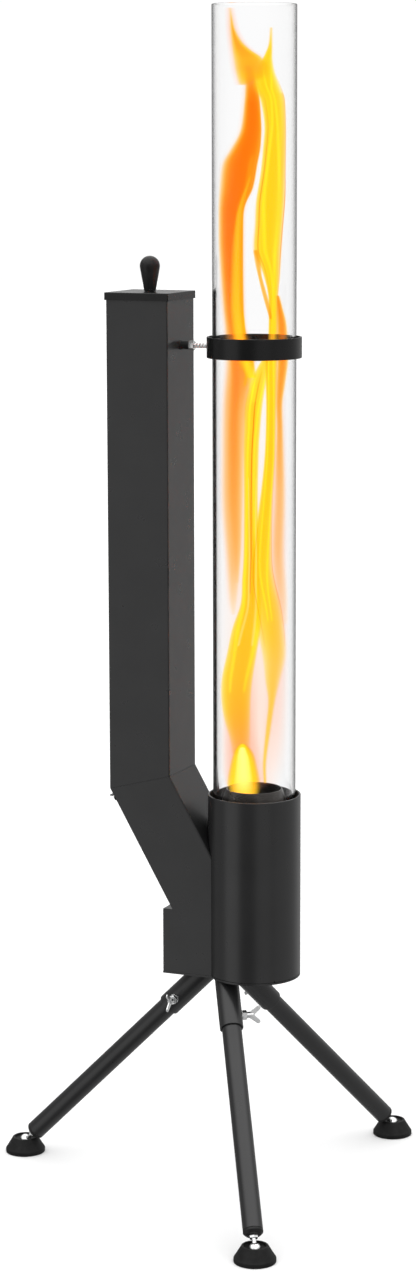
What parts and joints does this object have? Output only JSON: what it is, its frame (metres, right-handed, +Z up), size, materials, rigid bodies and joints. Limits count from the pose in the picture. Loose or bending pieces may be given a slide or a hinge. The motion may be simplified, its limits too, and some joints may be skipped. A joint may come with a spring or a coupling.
{
  "type": "outdoor heater",
  "caption": "Free-standing pellet patio heater: tall glass flame tube on a round burner housing, square gravity-fed hopper with lid, tripod legs with swivel feet.",
  "frame": {"origin": "on the floor, at the middle of the footprint of the three foot pads", "axes": "+Z up; +X from the hopper towards the glass tube; +Y to the left of someone facing along +X"},
  "size_m": [0.58, 0.66, 1.792],
  "materials": {
    "black_powder_coat": "satin fine-texture powder coat",
    "heat_darkened_steel": "heat-darkened sheet steel",
    "zinc_plated_steel": "bright zinc plate",
    "black_phenolic": "moulded, semi-gloss",
    "black_rubber": "moulded, dull",
    "borosilicate_glass": "clear, polished",
    "ceramic_fibre": "pressed fibre"
  },
  "bodies": {
    "stand": {"base_plate": "black_powder_coat", "burner_housing": "black_powder_coat", "ash_box": "black_powder_coat", "hopper_tube": "black_powder_coat", "feed_chute": "black_powder_coat", "gate_guide": "black_powder_coat", "pellet_slide": "heat_darkened_steel", "fire_grate": "heat_darkened_steel", "fire_tube": "heat_darkened_steel", "glass_seat": "heat_darkened_steel", "glass_gasket": "ceramic_fibre", "burner_cone": "heat_darkened_steel", "ring_standoff": "black_powder_coat", "ring_stud": "zinc_plated_steel", "support_ring": "black_powder_coat", "leg_sleeve_left": "black_powder_coat", "clamp_nut_left": "zinc_plated_steel", "leg_sleeve_front": "black_powder_coat", "clamp_nut_front": "zinc_plated_steel", "leg_sleeve_back": "black_powder_coat", "clamp_nut_back": "zinc_plated_steel"},
    "lid": {"hopper_lid": "black_powder_coat", "lid_knob": "black_phenolic", "knob_screw": "zinc_plated_steel"},
    "gate": {"pellet_gate": "black_powder_coat"},
    "drawer": {"ash_drawer": "black_powder_coat", "drawer_handle": "zinc_plated_steel"},
    "glass": {"glass_tube": "borosilicate_glass"},
    "ring_nut": {"jam_nut": "zinc_plated_steel"},
    "clamp_left": {"wing_screw_left": "zinc_plated_steel"},
    "leg_left": {"leg_tube_left": "black_powder_coat", "leg_plug_left": "black_phenolic"},
    "stud_left": {"ball_stud_left": "zinc_plated_steel"},
    "foot_left": {"foot_pad_left": "black_rubber"},
    "clamp_front": {"wing_screw_front": "zinc_plated_steel"},
    "leg_front": {"leg_tube_front": "black_powder_coat", "leg_plug_front": "black_phenolic"},
    "stud_front": {"ball_stud_front": "zinc_plated_steel"},
    "foot_front": {"foot_pad_front": "black_rubber"},
    "clamp_back": {"wing_screw_back": "zinc_plated_steel"},
    "leg_back": {"leg_tube_back": "black_powder_coat", "leg_plug_back": "black_phenolic"},
    "stud_back": {"ball_stud_back": "zinc_plated_steel"},
    "foot_back": {"foot_pad_back": "black_rubber"}
  },
  "joints": [
    {"name": "lid_lift", "type": "slide", "parent": "stand", "child": "lid", "axis": [0, 0, 1], "range_m": [0, 0.15]},
    {"name": "gate_slide", "type": "slide", "parent": "stand", "child": "gate", "axis": [-1, 0, 0], "range_m": [0, 0.1]},
    {"name": "drawer_slide", "type": "slide", "parent": "stand", "child": "drawer", "axis": [-1, 0, 0], "range_m": [0, 0.15]},
    {"name": "glass_lift", "type": "slide", "parent": "stand", "child": "glass", "axis": [0, 0, 1], "range_m": [0, 0.75]},
    {"name": "jam_nut_spin", "type": "hinge", "parent": "stand", "child": "ring_nut", "pos_m": [0.0369, 0, 1.295], "axis": [1, 0, 0], "continuous": true},
    {"name": "clamp_left_turn", "type": "hinge", "parent": "stand", "child": "clamp_left", "pos_m": [0.00988, -0.02, 0.28663], "axis": [0, -1, 0], "continuous": true},
    {"name": "leg_left_slide", "type": "slide", "parent": "stand", "child": "leg_left", "axis": [-0.7071, 0, -0.7071], "range_m": [0, 0.04]},
    {"name": "stud_left_turn", "type": "hinge", "parent": "leg_left", "child": "stud_left", "pos_m": [-0.25875, 0, 0.018], "axis": [-0.7071, 0, -0.7071], "continuous": true},
    {"name": "foot_left_tilt", "type": "hinge", "parent": "leg_left", "child": "foot_left", "pos_m": [-0.25875, 0, 0.018], "axis": [0, 1, 0], "range_deg": [-2, 90]},
    {"name": "clamp_front_turn", "type": "hinge", "parent": "stand", "child": "clamp_front", "pos_m": [0.14175, -0.05614, 0.28663], "axis": [0.866, 0.5, 0], "continuous": true},
    {"name": "leg_front_slide", "type": "slide", "parent": "stand", "child": "leg_front", "axis": [0.3536, -0.6124, -0.7071], "range_m": [0, 0.04]},
    {"name": "stud_front_turn", "type": "hinge", "parent": "leg_front", "child": "stud_front", "pos_m": [0.25875, -0.29878, 0.018], "axis": [0.3536, -0.6124, -0.7071], "continuous": true},
    {"name": "foot_front_tilt", "type": "hinge", "parent": "leg_front", "child": "foot_front", "pos_m": [0.25875, -0.29878, 0.018], "axis": [-0.866, -0.5, 0], "range_deg": [-2, 90]},
    {"name": "clamp_back_turn", "type": "hinge", "parent": "stand", "child": "clamp_back", "pos_m": [0.10711, 0.07614, 0.28663], "axis": [-0.866, 0.5, 0], "continuous": true},
    {"name": "leg_back_slide", "type": "slide", "parent": "stand", "child": "leg_back", "axis": [0.3536, 0.6124, -0.7071], "range_m": [0, 0.04]},
    {"name": "stud_back_turn", "type": "hinge", "parent": "leg_back", "child": "stud_back", "pos_m": [0.25875, 0.29878, 0.018], "axis": [0.3536, 0.6124, -0.7071], "continuous": true},
    {"name": "foot_back_tilt", "type": "hinge", "parent": "leg_back", "child": "foot_back", "pos_m": [0.25875, 0.29878, 0.018], "axis": [0.866, -0.5, 0], "range_deg": [-2, 90]}
  ]
}
